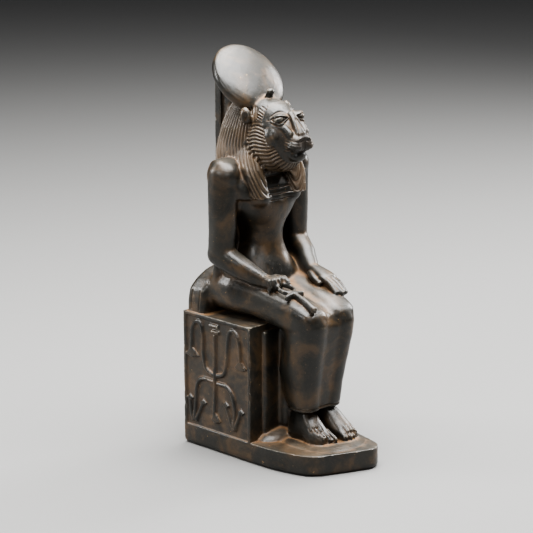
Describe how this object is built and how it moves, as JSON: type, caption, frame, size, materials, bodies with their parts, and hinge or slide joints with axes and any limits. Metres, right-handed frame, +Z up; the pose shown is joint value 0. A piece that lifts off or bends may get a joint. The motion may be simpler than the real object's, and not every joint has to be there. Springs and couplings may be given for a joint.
{
  "type": "seated lioness goddess statue",
  "caption": "Statuette of a lioness-headed goddess enthroned on a block seat, carved in dark basalt, standing on its own rounded base.",
  "frame": {"origin": "middle of the underside, below the centre of the bounding box", "axes": "+Z up along the statue, -Y the way the figure faces, +X towards the figure's left hand"},
  "size_m": [0.0936, 0.1428, 0.2973],
  "materials": {
    "basalt": "dark grey-brown basalt, hand polished to a satin, with tan dust left in the hollows"
  },
  "bodies": {
    "root": {"lioness_goddess_statue": "basalt"}
  },
  "joints": []
}
